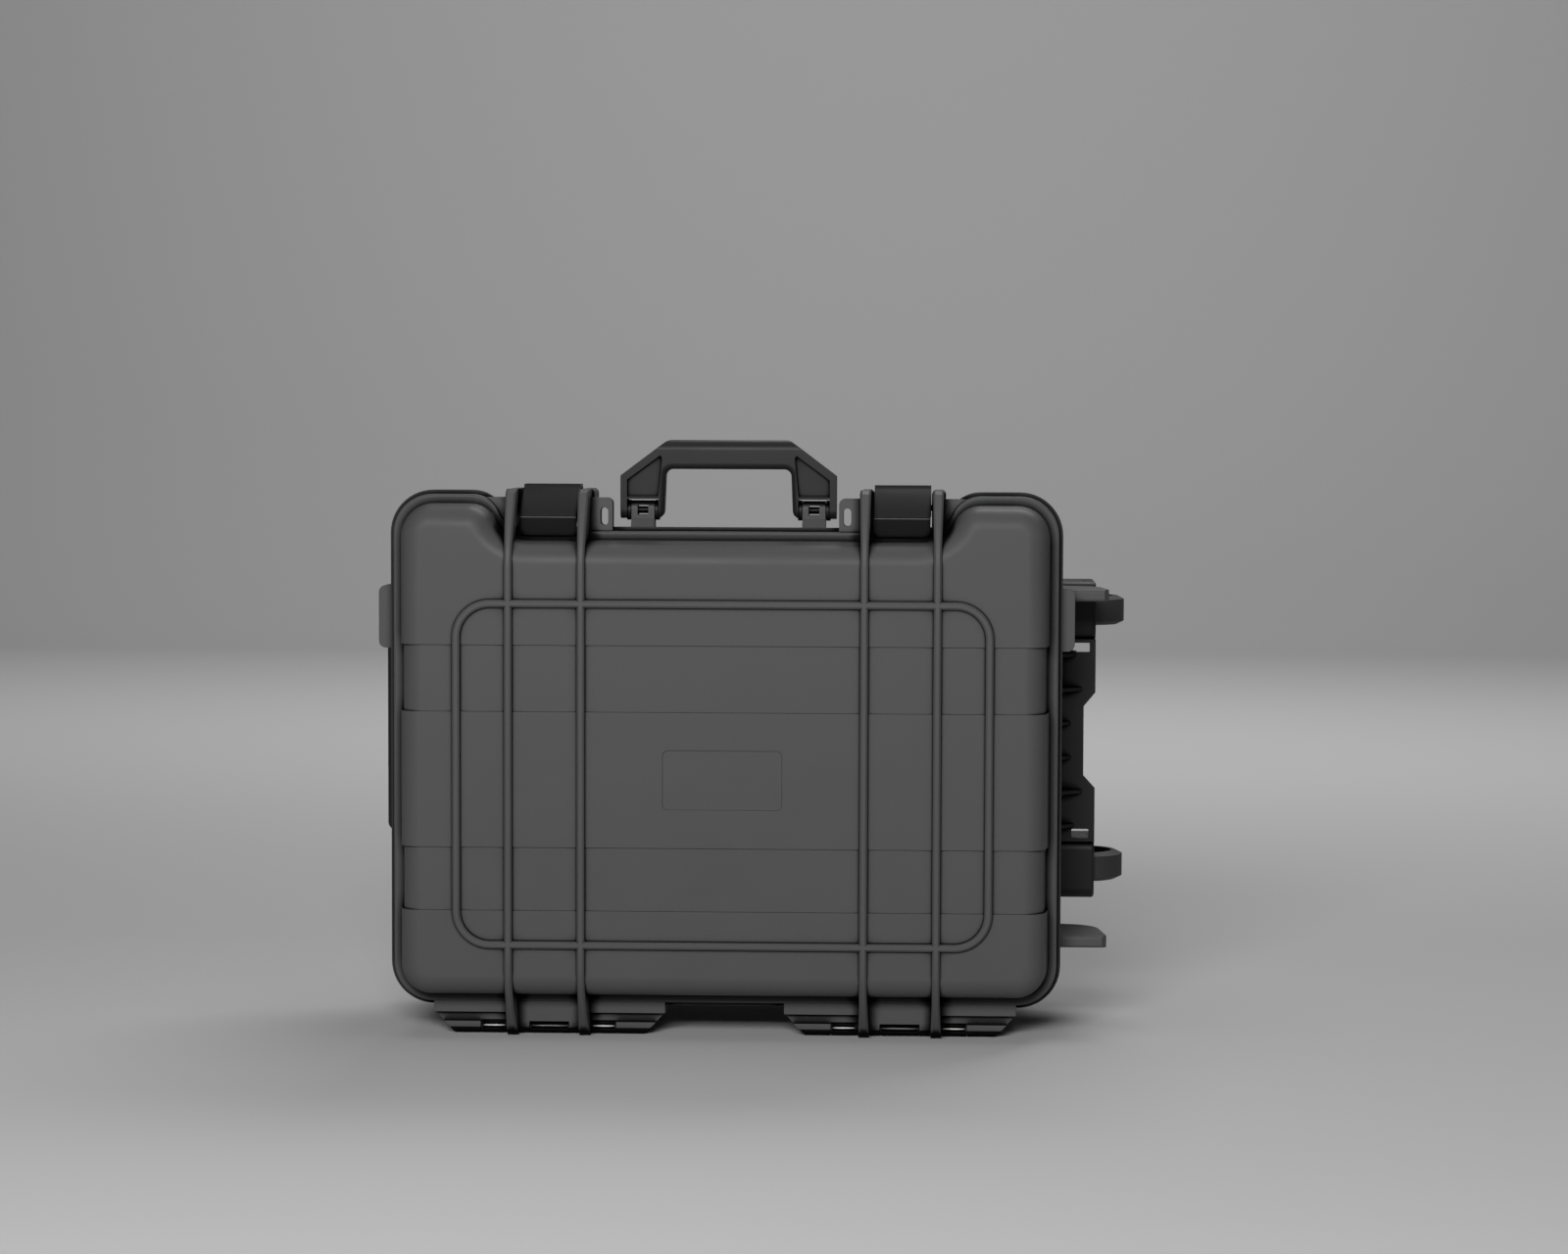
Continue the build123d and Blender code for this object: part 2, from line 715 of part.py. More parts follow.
def latch(centre):
    """One over-centre latch: a hooked lever on its pin."""
    half = LATCH_W / 2
    body = along_x(latch_profile(), centre - half, centre + half)
    lower = body.edges().filter_by(Axis.Y).group_by(Axis.Z)[0]
    body = chamfer(lower, 1.3, 3.0)
    y, z = LATCH_PIVOT
    return body - rod_x(y, z, LATCH_BORE_R, centre - 40, centre + 40)


def handle_outline():
    """The carry handle in X and Z, with its finger opening."""
    slope = math.tan(math.radians(53))
    drop = 30.0
    outer = Polyline(
        (-HANDLE_HALF, HANDLE_LOW),
        (-HANDLE_HALF, HANDLE_TOP - drop),
        (-HANDLE_HALF + drop * slope, HANDLE_TOP),
        (HANDLE_HALF - drop * slope, HANDLE_TOP),
        (HANDLE_HALF, HANDLE_TOP - drop),
        (HANDLE_HALF, HANDLE_LOW),
        close=True,
    )
    opening = Polyline(
        (-HANDLE_OPEN_LOW, HANDLE_LOW - 5),
        (-HANDLE_OPEN_HALF, GRIP_LOW),
        (HANDLE_OPEN_HALF, GRIP_LOW),
        (HANDLE_OPEN_LOW, HANDLE_LOW - 5),
        close=True,
    )
    opening = make_face(opening)
    opening = fillet(opening.vertices().sort_by(Axis.Y)[-2:], 6)
    return make_face(outer) - opening


def handle_drums(x, middle):
    """Round ends inside one leg's fork, beside the lug."""
    half = HANDLE_LUG_W / 2
    drums = rod_x(middle, HANDLE_PIVOT_Z, 8.5, x - half - 4, x - half - 0.5)
    return drums + rod_x(middle, HANDLE_PIVOT_Z, 8.5, x + half + 0.5, x + half + 4)


def leg_pocket(side, face_y):
    """The shallow pocket in one leg's face, with its slanted lower wall."""
    outline = Polyline(
        (side * 85.2, 450),
        (side * 85.2, 462.4),
        (side * 57.2, 483),
        (side * 55.8, 480.5),
        (side * 58.9, 450),
        close=True,
    )
    front = face_y < HANDLE_FRONT + 1
    deep = face_y + POCKET_DEPTH if front else face_y - POCKET_DEPTH
    pocket = toward_back(make_face(outline), min(face_y, deep), POCKET_DEPTH)
    slant = make_face(Polyline((face_y, 447.6), (deep, 450.2), (face_y, 450.2), close=True))
    return pocket + along_x(slant, *sorted((side * 59.2, side * 85.2)))


def carry_handle():
    """The carry handle: rounded grip, sloped corners, pocketed legs and forked ends."""
    middle = HANDLE_FRONT + HANDLE_T / 2
    body = toward_back(handle_outline(), HANDLE_FRONT, HANDLE_T)
    upper = body.edges().filter_by(lambda e: e.center().Z > HANDLE_TOP - 1)
    body = fillet(upper, 8.5)
    under = body.edges().filter_by(lambda e: abs(e.center().X) < 60 and 460 < e.center().Z < GRIP_LOW + 0.1)
    body = fillet(under.filter_by(lambda e: abs(e.center().Y - middle) > 9), 5)
    feet = body.edges().filter_by(Axis.X).group_by(Axis.Z)[0]
    body = fillet(feet, 7)
    for side in (-1, 1):
        x = side * HANDLE_LUG_X
        half = HANDLE_LUG_W / 2
        body -= block((x - half - 3.5, 0, 400), (x + half + 3.5, 80, HANDLE_PIVOT_Z + 9.3))
        body += handle_drums(x, middle)
        body -= rod_x(middle, HANDLE_PIVOT_Z, HANDLE_PIN_R + PIN_FIT, x - 16.5, x + 16.5)
        for face_y in (HANDLE_FRONT, HANDLE_FRONT + HANDLE_T):
            body -= leg_pocket(side, face_y)
    return body


def wheel_carrier():
    """The moulded frame of the wheel end: notched plate, gussets and two wheel boxes."""
    root = PAD_X + 0.3
    plate = Polyline(
        (root, CARRIER_Z - PLATE_HALF),
        (BRACKET_TIP, CARRIER_Z - PLATE_HALF),
        (BRACKET_TIP, CARRIER_Z - 41.2),
        (BRACKET_TIP - 10, CARRIER_Z - 30.2),
        (BRACKET_TIP - 10, CARRIER_Z + 30.0),
        (BRACKET_TIP, CARRIER_Z + 42.0),
        (BRACKET_TIP, CARRIER_Z + PLATE_HALF),
        (root, CARRIER_Z + PLATE_HALF),
        close=True,
    )
    face = make_face(plate)
    for side in (-1, 1):
        centre = CARRIER_Z + side * 81.0
        face -= rounded_plate(292.6, 307.4, centre - 4, centre + 4, 1)
    carrier = toward_back(face, BRACKET_FRONT, 4)
    carrier += block(
        (root, BRACKET_FRONT, CARRIER_Z - PLATE_HALF), (root + 4, 196, CARRIER_Z + PLATE_HALF)
    )
    for step, reach in enumerate(GUSSET_REACH):
        z = CARRIER_Z + 74.6 - GUSSET_STEP * step
        gusset = Polyline((root, 92), (reach, BRACKET_FRONT + 1), (reach, 160), (root, 190), close=True)
        carrier += Pos(0, 0, z - 1.5) * extrude(make_face(gusset), amount=3)
    for side in (-1, 1):
        z = CARRIER_Z + side * WHEEL_HALF_SPAN
        room = WHEEL_W / 2 + 1.2
        carrier += wheel_box(root, z)
        carrier -= block((root + 3, BRACKET_FRONT + 4, z - room), (BRACKET_TIP + 10, 210, z + room))
        carrier -= rod_z(WHEEL_X, WHEEL_Y, AXLE_R, z - 40, z + 40)
        carrier -= rod_z(WHEEL_X, WHEEL_Y, WHEEL_R + 1.5, z - room, z + room)
    for y, z in carrier_screw_places():
        carrier -= rod_x(y, z, SCREW_R + 0.3, root - 1, root + 6)
    return carrier


def wheel_box(root, z):
    """One wheel box before it is hollowed, well rounded in front and lightly at its tip."""
    box = block((root, BRACKET_FRONT, z - BRACKET_HALF), (BRACKET_TIP, 196, z + BRACKET_HALF))
    front = box.edges().filter_by(Axis.X).filter_by(lambda e: e.center().Y < BRACKET_FRONT + 1)
    box = fillet(front, 9)
    return fillet(box.edges().filter_by(lambda e: e.center().X > BRACKET_TIP - 0.5), 2.5)


def screw(y, z):
    """One pan-head screw that holds the wheel carrier."""
    head = rod_x(y, z, 4.6, PAD_X + 4.4, PAD_X + 7.0)
    shank = rod_x(y, z, 1.95, PAD_X - 12, PAD_X + 4.6)
    return head + shank


def wheel_hub(z):
    """A spoked wheel hub with a rim for the tyre."""
    rim = Cylinder(WHEEL_R - 6, WHEEL_W - 3) - Cylinder(WHEEL_R - 9.5, WHEEL_W)
    web = Cylinder(WHEEL_R - 9, 4)
    boss = Cylinder(9.5, WHEEL_W - 2)
    hub = rim + web + boss
    for spoke in range(6):
        hub += Rot(0, 0, 60 * spoke) * Pos((WHEEL_R + 1) / 2, 0, 0) * Box(WHEEL_R - 16, 3.2, WHEEL_W - 10)
    hub -= Cylinder(6.5, WHEEL_W + 10)
    return Pos(WHEEL_X, WHEEL_Y, z) * hub


def wheel_tyre(z):
    """A soft tread with a flat crown and sloped sides."""
    rim = WHEEL_W / 2 - 1.5
    inner = WHEEL_R - 6
    section = Polyline((inner, -rim), (WHEEL_R, -CROWN_HALF), (WHEEL_R, CROWN_HALF), (inner, rim), close=True)
    ring = revolve(Plane.XZ * make_face(section), Axis.Z)
    return Pos(WHEEL_X, WHEEL_Y, z) * ring


def wheel_bush(z):
    """The plain bush between hub and axle."""
    return Pos(WHEEL_X, WHEEL_Y, z) * (Cylinder(6.5, WHEEL_W - 2) - Cylinder(AXLE_R + PIN_FIT, WHEEL_W))


def axle(z):
    """A wheel axle, flush with the cheeks of its box."""
    return rod_z(WHEEL_X, WHEEL_Y, AXLE_R, z - BRACKET_HALF + 0.3, z + BRACKET_HALF - 0.3)


def tube_pair(radius, low, high):
    """Two parallel hollow tubes of the trolley."""
    tubes = []
    for side in (-1, 1):
        z = TROLLEY_Z + side * TUBE_SPREAD
        tube = rod_x(TUBE_Y, z, radius, low, high) - rod_x(TUBE_Y, z, radius - TUBE_WALL, low - 1, high + 1)
        tubes.append(tube)
    return Compound(children=tubes)


def trolley_cover():
    """The ribbed cover over the trolley's channel."""
    gap = 0.4
    face = rounded_plate(
        -258, CHANNEL_END - gap, TROLLEY_Z - CHANNEL_HALF + gap, TROLLEY_Z + CHANNEL_HALF - gap, 3
    )
    cover = toward_back(face, BASE_DEPTH - 3.2, 3)
    for step in range(-5, 6):
        x = -12 + step * 44
        cover += block((x - 2, BASE_DEPTH - 1, TROLLEY_Z - 70), (x + 2, BASE_DEPTH + 1.5, TROLLEY_Z + 70))
    return cover


def trolley_bezel():
    """The end plate that the tubes come out of."""
    gap = 0.4
    face = Pos(TUBE_Y + 1.5, TROLLEY_Z) * RectangleRounded(30, 2 * CHANNEL_HALF - 2 * gap, 3)
    plate = along_x(face, -269, TUBE_LEFT - 0.3)
    for side in (-1, 1):
        plate -= rod_x(TUBE_Y, TROLLEY_Z + side * TUBE_SPREAD, TUBE_MID_R + 0.3, -290, -250)
    return plate


def trolley_saddles():
    """Two blocks that hold the outer tubes in the channel."""
    saddles = []
    for x in (-252, 205):
        saddle = block((x, 168, TROLLEY_Z - 80), (x + 14, BASE_DEPTH - 4, TROLLEY_Z + 80))
        for side in (-1, 1):
            saddle -= rod_x(TUBE_Y, TROLLEY_Z + side * TUBE_SPREAD, TUBE_OUT_R, x - 5, x + 20)
        saddles.append(saddle)
    return Compound(children=saddles)


def trolley_grip():
    """The trolley's grip: a bar and two legs that take the inner tubes."""
    outer = rounded_plate(GRIP_TIP, GRIP_ROOT, TROLLEY_Z - GRIP_HALF, TROLLEY_Z + GRIP_HALF, 7)
    hole_half = GRIP_HALF - GRIP_LEG
    hole_left = GRIP_TIP + GRIP_BAR
    opening = rounded_plate(hole_left, GRIP_ROOT + 10, TROLLEY_Z - hole_half, TROLLEY_Z + hole_half, 6)
    body = toward_back(outer - opening, TUBE_Y - GRIP_T / 2, GRIP_T)
    bar = body.edges().filter_by(lambda e: e.center().X < GRIP_TIP + 8)
    body = fillet(bar.filter_by(lambda e: abs(e.center().Y - TUBE_Y) > 12), 5)
    for side in (-1, 1):
        body -= rod_x(TUBE_Y, TROLLEY_Z + side * TUBE_SPREAD, TUBE_IN_R, GRIP_TIP + 16, GRIP_ROOT + 10)
    button_room = block(
        (GRIP_TIP - 5, TUBE_Y - 6.4, TROLLEY_Z - 25.4), (GRIP_TIP + 12, TUBE_Y + 6.4, TROLLEY_Z + 25.4)
    )
    return body - button_room


def release_button():
    """The button in the grip that frees the trolley's tubes."""
    face = Pos(TUBE_Y, TROLLEY_Z) * RectangleRounded(12, 50, 4)
    button = along_x(face, GRIP_TIP, GRIP_TIP + 8)
    return chamfer(button.faces().sort_by(Axis.X)[0].edges(), 1.0)


def valve():
    """Pressure valve: a round vent body through the wall of the latch side."""
    top = RECESS_TOP - FLANGE_LIP - 1.5
    cap = rod_z(0, VALVE_Y, 9, top + 0.3, top + 5)
    cap = chamfer(cap.faces().sort_by(Axis.Z)[-1].edges(), 1.5)
    return cap + rod_z(0, VALVE_Y, 5.8, top - 16, top + 1)


def write(name, shape):
    """Write one sub-part to its own file, with the origin under the middle of the case."""
    middle_x = (GRIP_TIP + WHEEL_X + WHEEL_R) / 2
    middle_y = (BASE_DEPTH + BASE_RIB_H - LID_DEPTH - RIB_H) / 2
    place = Pos(-middle_x, -middle_y, -FOOT_Z)
    solids = [place * solid for solid in shape.solids()]
    shape = solids[0] if len(solids) == 1 else Compound(children=solids)
    export_step(shape, f"parts/{name}.step")
    print(name, len(shape.solids()), round(shape.volume))


def both(make, reach):
    """Two copies of a piece, to the left and right of the middle."""
    return Compound(children=[make(-reach), make(reach)])


def main():
    os.makedirs("parts", exist_ok=True)
    handle_y = HANDLE_FRONT + HANDLE_T / 2
    lid = lid_body()
    ribs = lid_ribs(lid)
    write("lid_shell", lid_shell(lid))
    write("lid_ribs", ribs)
    write("lid_tabs", tab_plates(-PART_GAP - TAB_T, TAB_T) - lid - ribs)
    write("lid_hinge_leaves", both(lambda x: lid_hinge_leaf(x, lid), FEATURE_X))
    write("lid_gasket", gasket())
    base = base_body()
    ribs = base_ribs(base)
    write("base_shell", base_shell(base))
    write("base_ribs", ribs)
    write("base_tabs", tab_plates(PART_GAP, TAB_T) - base - ribs)
    write("base_hinge_leaves", both(lambda x: base_hinge_leaf(x, base), FEATURE_X))
    write("handle_lugs", both(lambda x: handle_lug(x) - base, HANDLE_LUG_X))
    write("standing_fins", Compound(children=[standing_fin(height) - base for height in FINS_Z]))
    write("hinge_pins", both(lambda x: pin_x(x, 0, HINGE_Z, HINGE_PIN_R, HINGE_PIN_HALF), FEATURE_X))
    write("latch_pins", both(lambda x: pin_x(x, *LATCH_PIVOT, LATCH_PIN_R, 34), FEATURE_X))
    write("latch_left", latch(-FEATURE_X))
    write("latch_right", latch(FEATURE_X))
    write("carry_handle", carry_handle())
    write("handle_pins", both(lambda x: pin_x(x, handle_y, HANDLE_PIVOT_Z, HANDLE_PIN_R, 16), HANDLE_LUG_X))
    write("wheel_carrier", wheel_carrier())
    write("carrier_screws", Compound(children=[screw(*place) for place in carrier_screw_places()]))
    for name, height in (("lower", CARRIER_Z - WHEEL_HALF_SPAN), ("upper", CARRIER_Z + WHEEL_HALF_SPAN)):
        write(f"{name}_wheel_hub", wheel_hub(height))
        write(f"{name}_wheel_tyre", wheel_tyre(height))
        write(f"{name}_wheel_bush", wheel_bush(height))
        write(f"{name}_axle", axle(height))
    write("trolley_outer_tubes", tube_pair(TUBE_OUT_R, TUBE_LEFT, TUBE_RIGHT))
    write("trolley_middle_tubes", tube_pair(TUBE_MID_R, TUBE_LEFT - 8.5, TUBE_RIGHT - 12))
    write("trolley_inner_tubes", tube_pair(TUBE_IN_R, GRIP_TIP + 16, TUBE_RIGHT - 24))
    write("trolley_cover", trolley_cover())
    write("trolley_bezel", trolley_bezel())
    write("trolley_saddles", trolley_saddles())
    write("trolley_grip", trolley_grip())
    write("release_button", release_button())
    write("pressure_valve", valve())


main()
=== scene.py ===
import json
import math

import bmesh
import bpy
from mathutils import Matrix, Vector


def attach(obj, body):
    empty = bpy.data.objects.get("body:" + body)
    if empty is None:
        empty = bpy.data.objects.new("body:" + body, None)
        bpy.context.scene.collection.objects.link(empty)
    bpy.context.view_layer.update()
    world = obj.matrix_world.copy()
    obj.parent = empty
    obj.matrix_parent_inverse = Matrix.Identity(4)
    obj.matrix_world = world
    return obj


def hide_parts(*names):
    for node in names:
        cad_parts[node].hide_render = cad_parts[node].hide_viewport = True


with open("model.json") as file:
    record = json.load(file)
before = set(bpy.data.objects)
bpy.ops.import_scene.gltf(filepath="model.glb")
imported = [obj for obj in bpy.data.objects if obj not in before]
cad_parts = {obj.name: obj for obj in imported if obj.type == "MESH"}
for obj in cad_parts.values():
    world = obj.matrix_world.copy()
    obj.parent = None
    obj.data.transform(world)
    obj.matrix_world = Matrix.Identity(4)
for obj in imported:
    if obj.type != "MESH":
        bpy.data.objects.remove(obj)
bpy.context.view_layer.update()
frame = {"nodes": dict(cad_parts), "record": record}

bl_info = {
    "name": "Wheeled Protective Case",
    "version": (1, 0, 0),
    "blender": (4, 5, 0),
    "location": "3D View > Sidebar > Case",
    "description": "Dresses the packed parts of a wheeled protective case and sets the studio round it",
    "category": "Object",
}

MM = 0.001

# The photograph's camera, in millimetres from the middle of the case
CAMERA_PLACE = (190.13, -3175.1, 518.7)
CAMERA_LENS_MM = 85.4
CAMERA_SHIFT_X = -0.05
CAMERA_YAW = 1.663
CAMERA_PITCH = 3.24
CAMERA_ROLL = 0.248

# The nodes that are moulded in one with the lid or the base
SHELL_NODES = (
    "lid_shell",
    "lid_ribs",
    "lid_tabs",
    "lid_hinge_leaves",
    "base_shell",
    "base_ribs",
    "base_tabs",
    "base_hinge_leaves",
    "handle_lugs",
    "standing_fins",
)

# Angle over which an edge of a moulded part stays crisp
CRISP_ANGLE = math.radians(32)

# Painted shade in gaps: share of open sky at which the painted shade is at its darkest and at which it ends,
# and its darkest tone
GAP_CLOSED = 0.6
GAP_OPEN = 0.87
GAP_SHADE_TONE = 0.04
# Reflection of the plastics in the open, as a share of the shader's own; the painted shade in gaps dims it
# further
SHEEN = 0.18
FLOW_SPACING = 60 * MM

# Studio, in metres: how far back the floor runs, its curve and where its tone changes
FLOOR_BACK = 5.0
FLOOR_CURVE = 2.0
FLOOR_STEPS = 24
TONE_NEAR_Y = -1.0
TONE_FAR_Y = 1.6
# Each lamp's name, place, target, size and share of the key power
LAMPS = (
    ("lamp_front", (-0.3, -3.2, 1.5), (0, 0, 0.22), (1.5, 0.8), 1.0),
    ("lamp_above", (0.0, -0.1, 3.0), (0, 0, 0), (2.6, 2.2), 0.16),
    ("lamp_back", (0.8, 2.2, 3.0), (0, 0, 0.2), (2.4, 1.2), 0.5),
    ("lamp_sheet", (0, 2.6, 3.4), (0, 6.5, 1.0), (5.0, 1.0), 1.25),
)
WORLD_STRENGTH = 0.05


def linear(value):
    """One sRGB channel from 0 to 1, as linear light."""
    if value <= 0.04045:
        return value / 12.92
    return ((value + 0.055) / 1.055) ** 2.4


def colour(code):
    """An sRGB hex value as a linear colour with full alpha."""
    channels = [int(code[i : i + 2], 16) / 255 for i in (0, 2, 4)]
    return (*[linear(channel) for channel in channels], 1.0)


class CaseFinish(bpy.types.PropertyGroup):
    """Colours and grain sizes of the case's plastics and metals."""

    shell_colour: bpy.props.FloatVectorProperty(
        name="Shell Colour",
        description="Colour of the moulded lid and base",
        size=4,
        min=0.0,
        max=1.0,
        subtype="COLOR",
        default=colour("4b4b4c"),
    )
    latch_colour: bpy.props.FloatVectorProperty(
        name="Latch Colour",
        description="Colour of the satin latches",
        size=4,
        min=0.0,
        max=1.0,
        subtype="COLOR",
        default=colour("111112"),
    )
    fitting_colour: bpy.props.FloatVectorProperty(
        name="Fitting Colour",
        description="Colour of the handle, the trolley grip and the wheel carrier",
        size=4,
        min=0.0,
        max=1.0,
        subtype="COLOR",
        default=colour("212122"),
    )
    tread_colour: bpy.props.FloatVectorProperty(
        name="Tread Colour",
        description="Colour of the wheels' treads",
        size=4,
        min=0.0,
        max=1.0,
        subtype="COLOR",
        default=colour("2e2e2f"),
    )
    grain: bpy.props.FloatProperty(
        name="Mould Grain",
        description="Spacing of the spark-eroded grain on the shells",
        default=1.1 * MM,
        min=0.1 * MM,
        max=5 * MM,
        unit="LENGTH",
        precision=5,
    )
    edge_round: bpy.props.FloatProperty(
        name="Edge Rounding",
        description="Radius at which a moulded edge catches the light",
        default=0.7 * MM,
        min=0.0,
        max=3 * MM,
        unit="LENGTH",
        precision=5,
    )


class CaseStudio(bpy.types.PropertyGroup):
    """Floor, light and camera of the studio."""

    near_colour: bpy.props.FloatVectorProperty(
        name="Near Colour",
        description="Colour of the graduated sheet in front of the case",
        size=4,
        min=0.0,
        max=1.0,
        subtype="COLOR",
        default=colour("bcbcbc"),
    )
    far_colour: bpy.props.FloatVectorProperty(
        name="Far Colour",
        description="Colour of the graduated sheet behind the case",
        size=4,
        min=0.0,
        max=1.0,
        subtype="COLOR",
        default=colour("b8b8b8"),
    )
    floor_size: bpy.props.FloatProperty(
        name="Floor Size",
        description="Half the width of the floor",
        default=9.0,
        min=2.0,
        max=20.0,
        unit="LENGTH",
    )
    key_power: bpy.props.FloatProperty(
        name="Key Power",
        description="Power of the large soft lamp in front of the case, in watts",
        default=98.0,
        min=0.0,
        max=2000.0,
    )
    lens: bpy.props.FloatProperty(
        name="Lens",
        description="Focal length of the camera, in millimetres on a 36 mm sensor",
        default=CAMERA_LENS_MM,
        min=10.0,
        max=300.0,
    )


def add_node(tree, kind, settings=None, **links):
    """Adds a shader node, sets its values and links its sockets.

    A setting's key is a property, a socket's name or its number.
    A link's key is a socket's name, or i and its number.
    """
    node = tree.nodes.new(kind)
    for key, value in (settings or {}).items():
        if isinstance(key, str) and hasattr(node, key):
            setattr(node, key, value)
        else:
            node.inputs[key].default_value = value
    for key, source in links.items():
        socket = key.replace("_", " ")
        target = node.inputs[int(key[1:])] if key[0] == "i" and key[1:].isdigit() else node.inputs[socket]
        tree.links.new(source, target)
    return node


def start_material(name):
    """A new node material with its principled shader and output."""
    made = bpy.data.materials.new(name)
    made.use_nodes = True
    tree = made.node_tree
    tree.nodes.clear()
    output = add_node(tree, "ShaderNodeOutputMaterial")
    shader = add_node(tree, "ShaderNodeBsdfPrincipled")
    tree.links.new(shader.outputs["BSDF"], output.inputs["Surface"])
    return made, tree, shader


def gap_shade(tree, deep):
    """Painted shade: from nearly 0 inside a gap or at the foot of a wall to 1 in the open, over a distance.
    """
    near = add_node(tree, "ShaderNodeAmbientOcclusion", {"samples": 8, "Distance": deep})
    shade = add_node(
        tree,
        "ShaderNodeMapRange",
        {"From Min": GAP_CLOSED, "From Max": GAP_OPEN, "To Min": GAP_SHADE_TONE, "To Max": 1.0},
        Value=near.outputs["AO"],
    )
    return shade.outputs[0]


def moulded_plastic(name, base, roughness, grain, bump, mottle=0.06, round_edge=None, deep=None):
    """An injection-moulded plastic: even colour, faint flow mottling, and the mould's eroded grain in relief.

    Deep is the distance over which painted shade darkens the colour and dims the reflection in a corner or a
    gap.
    """
    made, tree, shader = start_material(name)
    coords = add_node(tree, "ShaderNodeTexCoord")
    place = coords.outputs["Object"]
    broad = {"Scale": 1 / FLOW_SPACING, "Detail": 3.0, "Roughness": 0.55}
    flow = add_node(tree, "ShaderNodeTexNoise", broad, Vector=place)
    close = {"Scale": 1 / grain, "Detail": 2.0, "Roughness": 0.6}
    fine = add_node(tree, "ShaderNodeTexNoise", close, Vector=place)
    shift = add_node(
        tree,
        "ShaderNodeMapRange",
        {"From Min": 0.3, "From Max": 0.7, "To Min": 1 - mottle, "To Max": 1 + mottle},
        Value=flow.outputs["Fac"],
    )
    speck = add_node(
        tree,
        "ShaderNodeMapRange",
        {"From Min": 0.25, "From Max": 0.75, "To Min": 1 - mottle, "To Max": 1 + mottle},
        Value=fine.outputs["Fac"],
    )
    product = {"operation": "MULTIPLY"}
    tone = add_node(tree, "ShaderNodeMath", product, i0=shift.outputs[0], i1=speck.outputs[0])
    tint = add_node(tree, "ShaderNodeVectorMath", {"operation": "SCALE", 0: base[:3]}, Scale=tone.outputs[0])
    # Painted shade: darkens the colour and dims the reflection in gaps, in corners and at the foot of walls,
    # where light is lost
    if deep:
        shade = gap_shade(tree, deep)
        shaded_sheen = add_node(tree, "ShaderNodeMath", {"operation": "MULTIPLY", 1: SHEEN}, i0=shade)
        tree.links.new(shaded_sheen.outputs[0], shader.inputs["Specular IOR Level"])
        tint = add_node(tree, "ShaderNodeVectorMath", {"operation": "SCALE"}, i0=tint.outputs[0], Scale=shade)
    tree.links.new(tint.outputs["Vector"], shader.inputs["Base Color"])
    gloss = add_node(
        tree,
        "ShaderNodeMapRange",
        {"From Min": 0.3, "From Max": 0.7, "To Min": roughness - 0.05, "To Max": roughness + 0.05},
        Value=flow.outputs["Fac"],
    )
    tree.links.new(gloss.outputs[0], shader.inputs["Roughness"])
    shader.inputs["IOR"].default_value = 1.49
    relief = add_node(
        tree, "ShaderNodeBump", {"Strength": 1.0, "Distance": bump}, Height=fine.outputs["Fac"]
    )
    if round_edge:
        soft = add_node(tree, "ShaderNodeBevel", {"samples": 6, "Radius": round_edge})
        tree.links.new(soft.outputs["Normal"], relief.inputs["Normal"])
    tree.links.new(relief.outputs["Normal"], shader.inputs["Normal"])
    return made


def drawn_metal(name, base, roughness, line, stretch, deep=None):
    """A drawn or ground metal: fine lines along its length in roughness and relief, and painted shade in gaps
    when deep is given.
    """
    made, tree, shader = start_material(name)
    coords = add_node(tree, "ShaderNodeTexCoord")
    mapped = add_node(tree, "ShaderNodeMapping", {"Scale": stretch}, Vector=coords.outputs["Object"])
    drawn = {"Scale": 1 / line, "Detail": 4.0, "Roughness": 0.7}
    lines = add_node(tree, "ShaderNodeTexNoise", drawn, Vector=mapped.outputs[0])
    shader.inputs["Base Color"].default_value = base
    # Painted shade: the colour darkens in gaps and corners, where light is lost
    if deep:
        scaled = {"operation": "SCALE", 0: base[:3]}
        tint = add_node(tree, "ShaderNodeVectorMath", scaled, Scale=gap_shade(tree, deep))
        tree.links.new(tint.outputs[0], shader.inputs["Base Color"])
    shader.inputs["Metallic"].default_value = 1.0
    gloss = add_node(
        tree,
        "ShaderNodeMapRange",
        {"From Min": 0.3, "From Max": 0.7, "To Min": roughness - 0.08, "To Max": roughness + 0.1},
        Value=lines.outputs["Fac"],
    )
    tree.links.new(gloss.outputs[0], shader.inputs["Roughness"])
    depth = {"Strength": 0.5, "Distance": 0.01 * MM}
    relief = add_node(tree, "ShaderNodeBump", depth, Height=lines.outputs["Fac"])
    tree.links.new(relief.outputs["Normal"], shader.inputs["Normal"])
    return made


MATERIALS = {}


